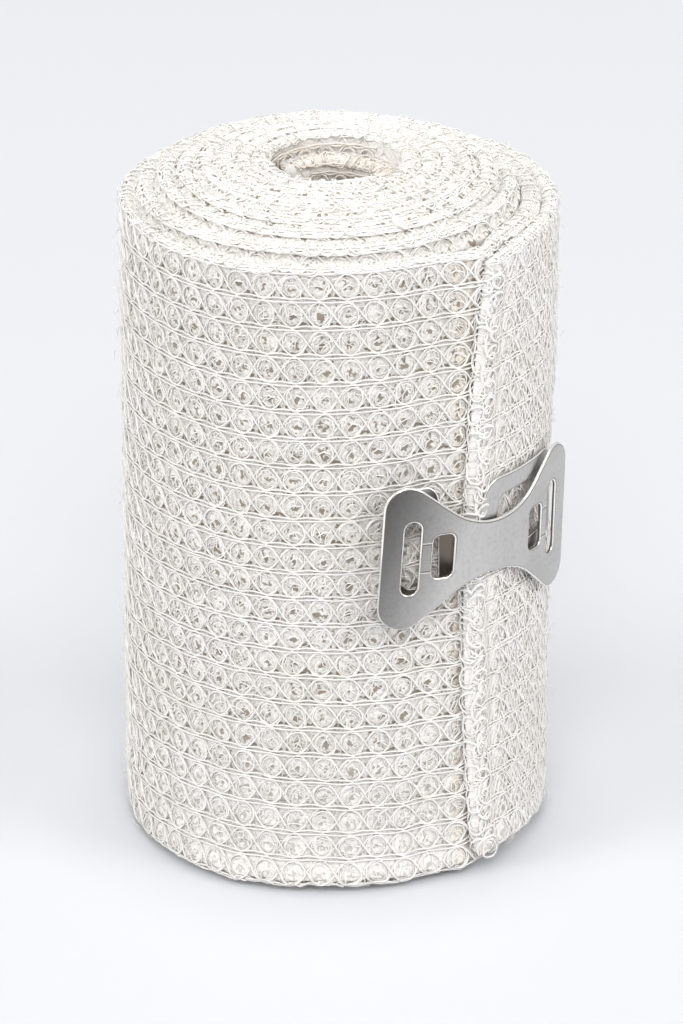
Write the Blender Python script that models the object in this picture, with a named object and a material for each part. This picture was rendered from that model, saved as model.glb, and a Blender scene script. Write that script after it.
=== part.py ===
"""A crepe bandage roll that stands on end, its loose end held by a metal butterfly clip.

The cloth is one strip, wound in a spiral from the loose end at the front right to the tail in the core.
Each turn inwards stands a little higher than the last, so the top is a low dome and the base is hollow.
The clip is two bent plates: a bow tie in front, and behind it a framed plate that lies on the cloth.
"""

import bisect
import math

import bmesh
import bpy
from mathutils import Vector

MM = 0.001

# The strip of cloth and how it is wound
CLOTH_WIDTH = 100.0 * MM  # standard 10 cm bandage
OUTER_RADIUS = 33.4 * MM  # outside of the cloth at the loose end's edge
TURN_PITCH = 2.85 * MM  # radius lost in each turn
CLOTH_THICKNESS = 2.5 * MM  # soft crepe with its air, so the turns lie 0.35 mm apart
TURNS = 8.55
SEGMENTS_PER_TURN = 46
ROLL_AXIS = Vector((-1.87 * MM, 0.60 * MM, 0.0))  # puts the middle of the whole part's base at the origin

# Heights of the turns
DOME_RISE = 5.8 * MM  # how far the core stands above the outer turn
DOME_TURNS = 1.9  # turns in which most of that rise happens
DOME_START = 0.95  # turns from the edge where the rise begins
TAIL_DROP = 3.0 * MM  # the tail in the core has slipped down by this much
TAIL_START = 7.95
TAIL_BLEND = 0.3
END_LIFT = 2.8 * MM  # the loose end's bottom corner is off the table
END_LIFT_TURNS = 0.3
END_TOP_DROP = 1.0 * MM
END_TOP_TURNS = 0.1
BASE_FLAT_TURNS = 1.35  # the base is level up to here

# Rounded rims of the strip
TOP_ROUND = 1.2 * MM
BASE_ROUND = 0.6 * MM
TOP_FLAT = 0.22  # half of the crest's flat, as a share of the thickness
BASE_FLAT = 0.3  # half of the base's flat, the same way

# The loose end's edge
EDGE_TURN = 38.6  # degrees right of the front
EDGE_ROUND = ((0.0, 0.3), (0.5, 0.7), (1.3, 0.93), (2.6, 1.0))  # (degrees from the edge, share of thickness)

# A soft roll is not quite round: (waves in a turn, height of the wave)
WOBBLE = ((2, 0.16 * MM), (3, 0.10 * MM), (5, 0.06 * MM))

# The clip
CLIP_TURN = 44.2  # degrees right of the front, at the middle of its waist
CLIP_HEIGHT = 54.4 * MM
CLIP_TILT = 3.8  # the right wing sits lower
CLIP_HALF_LENGTH = 19.3 * MM
CLIP_HALF_WAIST = 4.1 * MM
WAIST_CURVE = 14.1 * MM
WING_SLOPE = 36.0
WING_CORNER = 3.6 * MM
FRONT_THICKNESS = 0.6 * MM
BACK_THICKNESS = 0.4 * MM
CLIP_GAP = 0.3 * MM
FRONT_RADIUS = 34.7 * MM
FRONT_STRAIGHT_FROM = 62.6  # the right wing leaves the roll on a tangent here
FRONT_PRESSED_FROM = 38.0  # left of the edge the front plate is pressed in towards the cloth
FRONT_PRESSED = 0.7 * MM
FRONT_LEFT_TURN = 11.0
BACK_STEP_FROM = 27.0
BACK_STEP_TO = 37.0
BEND_STEP = 1.5 * MM
CUT_STEPS = 5  # points in each quarter circle of an outline

# Slots of the front plate, left and right alike: (distance of the middle, half width, half height, corner)
SLOT = (14.7 * MM, 1.25 * MM, 5.75 * MM, 1.2 * MM)
TONGUE_HOLE = (9.65 * MM, 1.75 * MM, 3.35 * MM, 1.0 * MM)

# The back plate, in millimetres along the clip and up from the table: its lower edge and its two ears
BACK_OUTLINE = (
    (-16.9, 47.2, 2.5),
    (-9.0, 47.2, 2.0),
    (-7.0, 49.9, 1.5),
    (17.3, 49.7, 2.5),
    (17.3, 64.0, 3.0),
    (-0.4, 64.4, 3.0),
    (-3.7, 57.6, 1.2),
    (-7.6, 57.6, 1.2),
    (-9.4, 64.8, 2.2),
    (-16.9, 64.8, 3.0),
)  # (along, up, corner radius)
BACK_WINDOWS = ((-11.9, 2.95, 55.1, 6.2, 1.8), (8.2, 7.0, 56.7, 4.7, 2.2))  # (along, half, up, half, corner)

# Finishes: (red, green, blue, metallic, roughness)
CLOTH_FINISH = (0.84, 0.82, 0.79, 0.0, 0.95)
STEEL_FINISH = (0.55, 0.54, 0.52, 1.0, 0.35)


def clear_scene():
    for item in list(bpy.data.objects):
        bpy.data.objects.remove(item, do_unlink=True)


def finish(name, values):
    material = bpy.data.materials.new(name)
    material.use_nodes = True
    shader = material.node_tree.nodes["Principled BSDF"]
    red, green, blue, metallic, roughness = values
    shader.inputs["Base Color"].default_value = (red, green, blue, 1.0)
    shader.inputs["Metallic"].default_value = metallic
    shader.inputs["Roughness"].default_value = roughness
    return material


def smooth_step(value):
    value = min(max(value, 0.0), 1.0)
    return value * value * (3.0 - 2.0 * value)


def around_axis(radius, degrees, height):
    """A point at this many degrees right of the roll's front, seen by someone who faces it along +Y."""
    angle = math.radians(degrees)
    return ROLL_AXIS + Vector((radius * math.sin(angle), -radius * math.cos(angle), height))


# ---------------------------------------------------------------- the roll


def wobble(degrees):
    return sum(size * math.sin(math.radians(waves * degrees) + waves) for waves, size in WOBBLE)


def cloth_radius(turns):
    """Outside radius of the strip, so many turns in from the loose end's edge."""
    return OUTER_RADIUS - TURN_PITCH * turns + wobble(EDGE_TURN + 360.0 * turns)


def dome(turns, start):
    if turns <= start:
        return 0.0
    return DOME_RISE * (1.0 - math.exp(-(turns - start) / DOME_TURNS))


def top_height(turns):
    drop = TAIL_DROP * smooth_step((turns - TAIL_START) / TAIL_BLEND)
    drop += END_TOP_DROP * (1.0 - smooth_step(turns / END_TOP_TURNS))
    return CLOTH_WIDTH + dome(turns, DOME_START) - drop


def base_height(turns):
    lift = END_LIFT * (1.0 - smooth_step(turns / END_LIFT_TURNS))
    return lift + dome(turns, BASE_FLAT_TURNS)


def strip_section(turns, share):
    """One cross-section of the strip, with its thickness drawn in to a share of the whole."""
    outside = cloth_radius(turns) - CLOTH_THICKNESS * (1.0 - share) / 2.0
    depth = CLOTH_THICKNESS * share
    top, base = top_height(turns), base_height(turns)
    corners = (
        (0.0, base + BASE_ROUND),
        (0.0, top - TOP_ROUND),
        (0.5 - TOP_FLAT, top),
        (0.5 + TOP_FLAT, top),
        (1.0, top - TOP_ROUND),
        (1.0, base + BASE_ROUND),
        (0.5 + BASE_FLAT, base),
        (0.5 - BASE_FLAT, base),
    )
    degrees = EDGE_TURN + 360.0 * turns
    return [around_axis(outside - inwards * depth, degrees, height) for inwards, height in corners]


def build_roll():
    stations = [(degrees / 360.0, share) for degrees, share in EDGE_ROUND]
    step = 1.0 / SEGMENTS_PER_TURN
    count = math.floor((TURNS - stations[-1][0]) / step)
    stations += [(TURNS - (count - 1 - i) * step, 1.0) for i in range(count)]
    mesh = bmesh.new()
    rings = [[mesh.verts.new(point) for point in strip_section(*station)] for station in stations]
    for one, two in zip(rings, rings[1:]):
        for i in range(len(one)):
            k = (i + 1) % len(one)
            mesh.faces.new((one[i], one[k], two[k], two[i]))
    mesh.faces.new(rings[0])
    mesh.faces.new(list(reversed(rings[-1])))
    bmesh.ops.recalc_face_normals(mesh, faces=mesh.faces)
    return to_object("bandage_roll", mesh, finish("crepe_cloth", CLOTH_FINISH))


# ---------------------------------------------------------------- the clip


def front_radius(degrees):
    """Middle line of the front plate, as a distance from the roll's axis."""
    if degrees > FRONT_STRAIGHT_FROM:
        return FRONT_RADIUS / math.cos(math.radians(degrees - FRONT_STRAIGHT_FROM))
    pressed = max(0.0, FRONT_PRESSED_FROM - degrees) / (FRONT_PRESSED_FROM - FRONT_LEFT_TURN)
    return FRONT_RADIUS - FRONT_PRESSED * pressed**2


def back_radius(degrees):
    """Middle line of the back plate: on the turn below at the left, and over the loose end at the right."""
    on_loose_end = OUTER_RADIUS + wobble(degrees)
    on_turn_below = on_loose_end - TURN_PITCH
    step = smooth_step((degrees - BACK_STEP_FROM) / (BACK_STEP_TO - BACK_STEP_FROM))
    return on_turn_below + (on_loose_end - on_turn_below) * step + CLIP_GAP + BACK_THICKNESS / 2.0


class BentPath:
    """Turns a distance along a plate into a place and an outward direction on its bent middle line."""

    def __init__(self, radius, first=-10.0, last=100.0, step=0.25):
        self.radius = radius
        self.degrees = [first + step * i for i in range(int((last - first) / step) + 1)]
        places = [self.place(degrees) for degrees in self.degrees]
        self.along = [0.0]
        for one, two in zip(places, places[1:]):
            self.along.append(self.along[-1] + (two - one).length)
        self.middle = self.distance_at(CLIP_TURN)

    def place(self, degrees):
        return around_axis(self.radius(degrees), degrees, 0.0)

    def distance_at(self, degrees):
        k = bisect.bisect(self.degrees, degrees) - 1
        share = (degrees - self.degrees[k]) / (self.degrees[k + 1] - self.degrees[k])
        return self.along[k] + share * (self.along[k + 1] - self.along[k])

    def bend(self, point):
        """point is (along the clip, outwards, up)."""
        distance = self.middle + point.x
        k = min(max(bisect.bisect(self.along, distance) - 1, 0), len(self.along) - 2)
        share = (distance - self.along[k]) / (self.along[k + 1] - self.along[k])
        degrees = self.degrees[k] + share * (self.degrees[k + 1] - self.degrees[k])
        ahead = (self.place(degrees + 0.5) - self.place(degrees - 0.5)).normalized()
        outwards = Vector((ahead.y, -ahead.x, 0.0))
        return self.place(degrees) + outwards * point.y + Vector((0.0, 0.0, point.z))


def arc(centre, radius, start, end, steps=CUT_STEPS):
    """Points along an arc from start to end, in degrees."""
    turned = [math.radians(start + (end - start) * i / steps) for i in range(steps + 1)]
    return [(centre[0] + radius * math.cos(a), centre[1] + radius * math.sin(a)) for a in turned]


def rounded_outline(corners):
    """A closed outline through (x, y, radius) corners, each replaced by an arc."""
    outline = []
    for i, (x, y, radius) in enumerate(corners):
        here = Vector((x, y))
        back = (Vector(corners[i - 1][:2]) - here).normalized()
        ahead = (Vector(corners[(i + 1) % len(corners)][:2]) - here).normalized()
        half = back.angle(ahead) / 2.0
        inwards = (back + ahead).normalized()
        centre = here + inwards * (radius / math.sin(half))
        start = (here + back * (radius / math.tan(half)) - centre).normalized()
        end = (here + ahead * (radius / math.tan(half)) - centre).normalized()
        for k in range(CUT_STEPS + 1):
            outline.append(tuple(centre + start.slerp(end, k / CUT_STEPS) * radius))
    return outline


def rounded_slot(middle, half_width, up, half_height, corner):
    return rounded_outline(
        [
            (middle - half_width, up - half_height, corner),
            (middle + half_width, up - half_height, corner),
            (middle + half_width, up + half_height, corner),
            (middle - half_width, up + half_height, corner),
        ]
    )


def bow_tie_outline():
    """Hollow waist arcs, straight slopes and round wing corners, the same in all four quarters."""
    slope = math.radians(WING_SLOPE)
    waist_end = (
        WAIST_CURVE * math.sin(slope),
        CLIP_HALF_WAIST + WAIST_CURVE * (1.0 - math.cos(slope)),
    )
    corner_x = CLIP_HALF_LENGTH - WING_CORNER
    line_y = waist_end[1] + math.tan(slope) * (corner_x - waist_end[0])
    corner = (corner_x, line_y - WING_CORNER / math.cos(slope))
    waist = arc((0.0, CLIP_HALF_WAIST + WAIST_CURVE), WAIST_CURVE, 270.0, 270.0 + WING_SLOPE)
    quarter = waist + arc(corner, WING_CORNER, 90.0 + WING_SLOPE, 0.0, 2 * CUT_STEPS)
    right = quarter + [(x, -y) for x, y in reversed(quarter)]
    left = [(-x, -y) for x, y in quarter[1:]] + [(-x, y) for x, y in reversed(quarter[1:])]
    return right[:-1] + left


def plate(name, outlines, thickness, path, tilt, lift, material):
    """A sheet of metal cut flat along its outlines, then tilted, lifted to its height and bent."""
    curve = bpy.data.curves.new(name + "_outline", "CURVE")
    curve.dimensions = "2D"
    curve.fill_mode = "BOTH"
    curve.extrude = thickness / 2.0
    for outline in outlines:
        spline = curve.splines.new("POLY")
        spline.points.add(len(outline) - 1)
        spline.use_cyclic_u = True
        for point, (x, y) in zip(spline.points, outline):
            point.co = (x, y, 0.0, 1.0)
    flat = bpy.data.objects.new(name + "_outline", curve)
    bpy.context.scene.collection.objects.link(flat)
    bpy.context.view_layer.update()
    cut = bpy.data.meshes.new_from_object(flat.evaluated_get(bpy.context.evaluated_depsgraph_get()))
    bpy.data.objects.remove(flat, do_unlink=True)

    mesh = bmesh.new()
    mesh.from_mesh(cut)
    bmesh.ops.remove_doubles(mesh, verts=mesh.verts, dist=0.001 * MM)
    bmesh.ops.dissolve_limit(mesh, angle_limit=0.01, verts=mesh.verts, edges=mesh.edges)
    turned = math.radians(-tilt)
    for vert in mesh.verts:
        x, y, z = vert.co
        along = x * math.cos(turned) - y * math.sin(turned)
        up = x * math.sin(turned) + y * math.cos(turned)
        vert.co = Vector((along, z, up + lift))
    reach = max(abs(vert.co.x) for vert in mesh.verts)
    columns = int(reach / BEND_STEP)
    for k in range(-columns, columns + 1):
        geometry = mesh.verts[:] + mesh.edges[:] + mesh.faces[:]
        bmesh.ops.bisect_plane(
            mesh, geom=geometry, dist=0.01 * MM, plane_co=(k * BEND_STEP, 0, 0), plane_no=(1, 0, 0)
        )
    for vert in mesh.verts:
        vert.co = path.bend(vert.co)
    bmesh.ops.triangulate(mesh, faces=mesh.faces)
    bmesh.ops.recalc_face_normals(mesh, faces=mesh.faces)
    return to_object(name, mesh, material)


def to_object(name, mesh, material):
    data = bpy.data.meshes.new(name)
    mesh.to_mesh(data)
    mesh.free()
    data.materials.append(material)
    data.shade_smooth()
    data.set_sharp_from_angle(angle=math.radians(35.0))
    made = bpy.data.objects.new(name, data)
    bpy.context.scene.collection.objects.link(made)
    return made


def build_front_plate(material):
    outlines = [bow_tie_outline()]
    for side in (-1.0, 1.0):
        for middle, half_width, half_height, corner in (SLOT, TONGUE_HOLE):
            outlines.append(rounded_slot(side * middle, half_width, 0.0, half_height, corner))
    path = BentPath(front_radius)
    return plate("clip_front_plate", outlines, FRONT_THICKNESS, path, CLIP_TILT, CLIP_HEIGHT, material)


def build_back_plate(material):
    outlines = [rounded_outline([(x * MM, y * MM, r * MM) for x, y, r in BACK_OUTLINE])]
    for along, half_width, up, half_height, corner in BACK_WINDOWS:
        outlines.append(
            rounded_slot(along * MM, half_width * MM, up * MM, half_height * MM, corner * MM)
        )
    path = BentPath(back_radius)
    return plate("clip_back_plate", outlines, BACK_THICKNESS, path, 0.0, 0.0, material)


def main():
    clear_scene()
    build_roll()
    steel = finish("clip_steel", STEEL_FINISH)
    build_front_plate(steel)
    build_back_plate(steel)


if __name__ == "__main__":
    main()
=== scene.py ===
"""A crepe bandage roll that stands on end, its loose end held by a metal butterfly clip.

The cloth is one strip, wound in a spiral. Each yarn of its knit is laid out flat first, in lengths along the
strip, lengths across it and heights out of it, and is then rolled up with the strip. The clip is cut flat
too, and bent round the roll. All sizes are in metres.
"""

import math

import bmesh
import bpy
import numpy as np
from bpy.props import FloatProperty, FloatVectorProperty, IntProperty, PointerProperty
from mathutils import Matrix, Vector


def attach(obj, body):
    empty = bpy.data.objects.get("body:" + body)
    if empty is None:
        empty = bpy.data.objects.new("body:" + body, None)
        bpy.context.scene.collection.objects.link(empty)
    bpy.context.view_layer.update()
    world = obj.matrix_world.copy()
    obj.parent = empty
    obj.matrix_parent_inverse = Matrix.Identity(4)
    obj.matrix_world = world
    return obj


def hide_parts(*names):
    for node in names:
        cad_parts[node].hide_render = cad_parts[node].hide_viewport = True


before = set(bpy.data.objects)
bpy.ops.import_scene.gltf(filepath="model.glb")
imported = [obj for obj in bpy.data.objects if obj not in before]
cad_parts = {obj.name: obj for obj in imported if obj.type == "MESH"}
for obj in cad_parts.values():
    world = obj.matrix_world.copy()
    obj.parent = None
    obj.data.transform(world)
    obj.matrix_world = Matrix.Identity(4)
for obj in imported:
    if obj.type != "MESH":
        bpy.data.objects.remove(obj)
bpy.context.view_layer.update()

bl_info = {
    "name": "Crepe Bandage Roll",
    "version": (1, 0, 0),
    "blender": (4, 5, 0),
    "location": "3D View > Sidebar > Bandage",
    "description": "Adds a knitted crepe bandage roll with its butterfly clip, and a stage for it",
    "category": "Add Mesh",
}

MM = 0.001
BODY = "root"

# The strip of cloth and how it is wound
CLOTH_WIDTH = 100.0 * MM
OUTER_RADIUS = 33.4 * MM  # outside of the cloth at the loose end's edge
TURN_PITCH = 2.85 * MM  # radius lost in each turn
CLOTH_THICKNESS = 2.5 * MM
TURNS = 8.55
ROLL_AXIS = Vector((-1.87 * MM, 0.60 * MM, 0.0))
DOME_RISE = 5.8 * MM  # how far the core stands above the outer turn
DOME_TURNS = 1.9
DOME_START = 0.95
TAIL_DROP = 3.0 * MM  # the tail in the core has slipped down by this much
TAIL_START = 7.95
TAIL_BLEND = 0.3
END_LIFT = 2.8 * MM  # the loose end's bottom corner is off the table
END_LIFT_TURNS = 0.3
END_TOP_DROP = 1.0 * MM
END_TOP_TURNS = 0.1
BASE_FLAT_TURNS = 1.35
EDGE_TURN = 38.6  # degrees right of the front
WOBBLE = ((2, 0.16 * MM), (3, 0.10 * MM), (5, 0.06 * MM))  # (waves in a turn, height of the wave)
RIM = CLOTH_THICKNESS / 2.0  # radius of the strip's rounded long edges
PATH_LENGTH = CLOTH_WIDTH + (math.pi - 2.0) * RIM  # over the outside, from crest to crest
# Degrees that the loose end's edge bows: at its middle, with the height from there, and with its square
EDGE_BOW = (-1.78, 2.55, 21.6)
EDGE_BOW_TURNS = 0.15
EDGE_SWELL = 1.5 * MM  # the soft turn below swells beside the loose end's edge
EDGE_SWELL_TURNS = 0.02
EDGE_SWELL_TOP = 0.5  # so much more at the top
EDGE_SWELL_HEIGHTS = (0.86, 0.1)  # (where that starts, how soon it is full), as shares of the cloth's width
HEM_PUFF = 0.5 * MM  # the hem is padded
HEM_MIDDLE_TURNS = 0.0105
HEM_HALF_TURNS = 0.009
BASE_LIFT = 1.05 * MM  # the outer turn stands off the table, by more or less this much
BASE_LIFT_TURNS = (1.1, 0.15)  # (turns that stand off, turns in which they come down)
BASE_WAVES = ((7, 0.12), (23, 0.1))  # (waves in a turn, share of the lift)
BASE_FLARE = 2.9 * MM  # its lower edge spreads out in front
BASE_DRAW = 0.5 * MM  # and is drawn in by this much all round
BASE_FLARE_HEIGHT = 7.0 * MM
END_BULGE = 0.7 * MM  # above the clip, the outer turns bulge where the loose end leaves the hem
END_BULGE_TURNS = (0.12, 0.17, 0.25)  # (turns to grow in, where it starts to fade, turns to fade in)
END_BULGE_HEIGHTS = (0.58, 0.25)
END_BULGE_LAYERS = 3
LOWEST = 0.03 * MM  # no yarn goes down to the table

# The knit
COLUMN_PITCH = 4.107 * MM
ROW_PITCH = 4.325 * MM
FIRST_COLUMN = 2.34 * MM  # middle of the first ring, along the strip
FIRST_ROW = 0.87 * MM  # the lowest weft, across the strip
ROWS = 23
OUTER_COLUMNS = 50
BAND_COLUMNS = 128  # on the inner turns that stand clear of their neighbours
CORE_ROWS = 5
HEM_YARN = 0.18 * MM
WARP_POINTS = 120
STRAY_SCALE = 330.0  # the noise by which yarns stray changes within about 3 mm
ANY_WAY = 6.28  # a whole turn, in radians

# The clip, measured along its middle line from its middle, and in height
CLIP_TURN = 44.2  # degrees right of the front
CLIP_HEIGHT = 54.4 * MM
CLIP_TILT = 3.8
CLIP_HALF_LENGTH = 19.3 * MM
CLIP_HALF_WAIST = 4.1 * MM
WAIST_CURVE = 14.1 * MM
WING_SLOPE = 36.0
WING_CORNER = 3.6 * MM
FRONT_THICKNESS = 0.6 * MM
BACK_THICKNESS = 0.4 * MM
CLIP_GAP = 0.3 * MM
FRONT_RADIUS = 34.7 * MM
FRONT_STRAIGHT_FROM = 62.6  # the right wing leaves the roll on a tangent here
FRONT_PRESSED_FROM = 38.0  # left of the edge the front plate is pressed in towards the cloth
FRONT_PRESSED = 0.7 * MM
FRONT_LEFT_TURN = 11.0
BACK_STEP_FROM = 27.0
BACK_STEP_TO = 37.0
BEND_STEP = 0.8 * MM
BENDS = 25
FLAT = 0.001  # points that are no further over the edge than this are on a broad face
CUT_STEPS = 8
SLOT = (14.7 * MM, 1.25 * MM, 5.75 * MM, 1.2 * MM)  # (middle, half width, half height, corner)
TONGUE_HOLE = (9.65 * MM, 1.75 * MM, 3.35 * MM, 1.0 * MM)
TONGUE_MIDDLE = 12.425 * MM  # between the slot and the hole
TONGUE_HALF = 2.15 * MM
# The back plate in millimetres: (along, up, corner radius), and its windows: (along, half, up, half, corner)
BACK_OUTLINE = (
    (-16.9, 47.2, 2.5),
    (-9.0, 47.2, 2.0),
    (-7.0, 49.9, 1.5),
    (17.3, 49.7, 2.5),
    (17.3, 64.0, 3.0),
    (-0.4, 64.4, 3.0),
    (-3.7, 57.6, 1.2),
    (-7.6, 57.6, 1.2),
    (-9.4, 64.8, 2.2),
    (-16.9, 64.8, 3.0),
)
BACK_WINDOWS = ((-11.9, 2.95, 55.1, 6.2, 1.8), (8.2, 7.0, 56.7, 4.7, 2.2))

# Finishes
WHITE = (1.0, 1.0, 1.0)
# Painted shade: yarns in the open core are tinted warmer and darker, within these radii and heights
CORE_RADII = (9.6 * MM, 10.6 * MM)  # yarns are warmer inside the first, and not outside the second
CORE_HEIGHTS = (104.2 * MM, 105.4 * MM)  # and below the first, not above the second
RING_MIDDLE = 0.37  # how far up its cell a ring's middle lies
GRAIN = 0.06  # how much the metal's roughness varies either way

# The stage
LAMPS = (
    ("left_light", (-3.0, -1.5, 1.7), 2.0, 46.0),
    ("right_light", (3.0, -1.5, 1.7), 2.0, 46.0),
    ("front_light", (0.0, -2.6, 2.7), 1.8, 50.0),
    ("top_light", (0.0, 0.2, 3.3), 0.9, 24.5),
)  # (name, place, width, power in watts)
LAMP_AIM = Vector((0.0, 0.0, 0.05))
FLOOR_HALF = 4.0
FLOOR_COLOUR = (0.765, 0.775, 0.8, 1.0)
SKY_COLOUR = (0.97, 0.98, 1.0)
SKY_SHADE = {"From Min": 0.02, "From Max": 0.4, "To Min": 0.4, "To Max": 1.05}  # darker towards the horizon
LENS = 224.0  # in millimetres
EYE_PITCH = math.radians(24.12)  # the camera looks down by this much
EYE_DISTANCE = 878.05 * MM  # level, from the roll's axis
EYE_ASIDE = 1.589 * MM
EYE_AIM_HEIGHT = 48.4 * MM


def smooth_step(value):
    value = np.clip(value, 0.0, 1.0)
    return value * value * (3.0 - 2.0 * value)


def wobble(degrees):
    return sum(size * np.sin(np.radians(waves * degrees) + waves) for waves, size in WOBBLE)


def cloth_radius(turns):
    """Outside radius of the strip, so many turns in from the loose end's edge."""
    return OUTER_RADIUS - TURN_PITCH * turns + wobble(EDGE_TURN + 360.0 * turns)


def dome(turns, start):
    return DOME_RISE * (1.0 - np.exp(-np.maximum(turns - start, 0.0) / DOME_TURNS))


def top_height(turns):
    drop = TAIL_DROP * smooth_step((turns - TAIL_START) / TAIL_BLEND)
    drop = drop + END_TOP_DROP * (1.0 - smooth_step(turns / END_TOP_TURNS))
    return CLOTH_WIDTH + dome(turns, DOME_START) - drop


def base_height(turns):
    lift = END_LIFT * (1.0 - smooth_step(turns / END_LIFT_TURNS))
    waves = sum((share * np.sin(2.0 * np.pi * count * turns) for count, share in BASE_WAVES), 1.0)
    lifted, blend = BASE_LIFT_TURNS
    lift = np.maximum(lift, BASE_LIFT * waves * (1.0 - smooth_step((turns - lifted) / blend)))
    return lift + dome(turns, BASE_FLAT_TURNS)


def outer_bulge(turns):
    """Share of the bulge at the right, most in the outer turn and less in each of the next two."""
    past = np.mod(turns, 1.0)
    grown_by, full_to, faded_by = END_BULGE_TURNS
    share = smooth_step(past / grown_by) * (1.0 - smooth_step((past - full_to) / faded_by))
    layer = np.floor(np.maximum(turns, 0.0))
    return share * np.maximum(1.0 - layer / END_BULGE_LAYERS, 0.0)


def above(height, start, blend):
    """0 up to the start and 1 from the blend on, which both count in shares of the cloth's width."""
    return smooth_step((height / CLOTH_WIDTH - start) / blend)


def with_soft_forms(radius, turns, height, angle, bow):
    """The radius, with the flare at the base, the swell and bulge by the loose end, and its padded hem."""
    flare = np.maximum(BASE_FLARE * np.cos(angle), 0.0) - BASE_DRAW
    flare = flare * np.clip(1.0 - height / BASE_FLARE_HEIGHT, 0.0, 1.0) ** 2
    swell = EDGE_SWELL * (1.0 + EDGE_SWELL_TOP * above(height, *EDGE_SWELL_HEIGHTS))
    swell = swell * np.exp(-(((turns - 1.0 - bow / 360.0) / EDGE_SWELL_TURNS) ** 2))
    bulge = END_BULGE * above(height, *END_BULGE_HEIGHTS) * outer_bulge(turns)
    puff = HEM_PUFF * np.exp(-(((turns - HEM_MIDDLE_TURNS) / HEM_HALF_TURNS) ** 2))
    return radius + flare + swell + bulge + puff


TURN_TABLE = np.linspace(-0.1, TURNS + 0.1, 9000)
LENGTH_TABLE = np.concatenate(
    [[0.0], np.cumsum(2.0 * np.pi * cloth_radius(TURN_TABLE[1:]) * np.diff(TURN_TABLE))]
)
LENGTH_TABLE -= np.interp(0.0, TURN_TABLE, LENGTH_TABLE)


def length_at(turns):
    return float(np.interp(turns, TURN_TABLE, LENGTH_TABLE))


def roll_up(flat):
    """Places on the roll of points on the flat strip: (along it, across it over its outside, out of it).

    Points go round the loose end's edge, and over the long edges, to the inside of the strip.
    """
    along, across, out = flat.T
    turned = np.clip((RIM - along) / RIM, 0.0, np.pi)
    along = np.where(turned > 0.0, RIM - (RIM + out) * np.sin(turned), along)
    out = (RIM + out) * np.cos(turned) - RIM
    turns = np.interp(along, LENGTH_TABLE, TURN_TABLE)
    top, base = top_height(turns), base_height(turns)
    upper = across > PATH_LENGTH / 2.0
    share = (top - base + PATH_LENGTH - CLOTH_WIDTH) / PATH_LENGTH
    way = np.where(upper, PATH_LENGTH - across, across) * share
    bend = np.clip(way / RIM, -np.pi / 2.0, np.pi / 2.0)
    inwards = RIM - (RIM + out) * np.sin(bend)
    rise = RIM - (RIM + out) * np.cos(bend) + np.maximum(np.abs(way) - RIM * np.pi / 2.0, 0.0)
    height = np.where(upper, top - rise, base + rise)
    middle, slope, curve = EDGE_BOW
    up = across / PATH_LENGTH - 0.5
    bow = middle + slope * up + curve * up**2
    angle = np.radians(EDGE_TURN + 360.0 * turns + bow * (1.0 - smooth_step(turns / EDGE_BOW_TURNS)))
    radius = with_soft_forms(cloth_radius(turns) - inwards, turns, height, angle, bow)
    x = ROLL_AXIS.x + radius * np.sin(angle)
    y = ROLL_AXIS.y - radius * np.cos(angle)
    return np.stack([x, y, np.maximum(height, LOWEST)], axis=1)


# ---------------------------------------------------------------- meshes


def points_of(mesh):
    flat = np.empty(len(mesh.vertices) * 3, np.float32)
    mesh.vertices.foreach_get("co", flat)
    return flat.reshape(-1, 3).astype(np.float64)


def move_points(mesh, points):
    mesh.vertices.foreach_set("co", points.astype(np.float32).ravel())
    mesh.update()


def add_object(name, mesh):
    made = bpy.data.objects.new(name, mesh)
    bpy.context.scene.collection.objects.link(made)
    return made


def finished(made):
    """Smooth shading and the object's body."""
    made.data.shade_smooth()
    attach(made, BODY)
    return made


def drift(points):
    """How far soft cloth strays from an even grid: some tenths of a millimetre, in slow waves."""
    along, across = points[:, 0] / MM, points[:, 1] / MM
    sideways = 0.28 * np.sin(across / 9.0 + along / 31.0) + 0.18 * np.sin(across / 4.7 - along / 17.0 + 1.0)
    upwards = 0.22 * np.sin(along / 8.3 + across / 27.0) + 0.16 * np.sin(along / 19.0 - across / 11.0 + 2.0)
    return np.stack([sideways, upwards, np.zeros_like(along)], axis=1) * MM


def rolled(name, meshes):
    """One piece of yarn from flat meshes, rolled up with the strip. Its height out of the cloth is kept."""
    joined = bmesh.new()
    for mesh in meshes:
        joined.from_mesh(mesh)
    material = [material for mesh in meshes for material in mesh.materials if material][0]
    whole = bpy.data.meshes.new(name)
    joined.to_mesh(whole)
    joined.free()
    for mesh in meshes:
        bpy.data.meshes.remove(mesh)
    whole.materials.append(material)
    whole.polygons.foreach_set("material_index", np.zeros(len(whole.polygons), np.int32))
    flat = points_of(whole)
    depth = whole.attributes.new("depth", "FLOAT", "POINT")
    depth.data.foreach_set("value", (-flat[:, 2] / MM).astype(np.float32))
    move_points(whole, roll_up(flat + drift(flat)))
    return finished(add_object(name, whole))


# ---------------------------------------------------------------- node trees


class Nodes:
    """Adds nodes to a tree, a value or a socket for each of their inputs."""

    def node(self, kind, inputs=(), output=0, **settings):
        made = self.tree.nodes.new(kind)
        for key, value in settings.items():
            setattr(made, key, value)
        for key, value in dict(inputs).items():
            if isinstance(value, bpy.types.NodeSocket):
                self.tree.links.new(value, made.inputs[key])
            else:
                made.inputs[key].default_value = value
        return made.outputs[output]

    def math(self, operation, *values, clamp=False):
        return self.node("ShaderNodeMath", enumerate(values), operation=operation, use_clamp=clamp)

    def times(self, first, *others):
        for other in others:
            first = self.math("MULTIPLY", first, other)
        return first

    def vectors(self, operation, one, two):
        second = "Scale" if operation == "SCALE" else 1
        return self.node("ShaderNodeVectorMath", {0: one, second: two}, operation=operation)

    def split(self, vector):
        """The vector's three parts."""
        return self.node("ShaderNodeSeparateXYZ", {0: vector}).node.outputs


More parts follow.
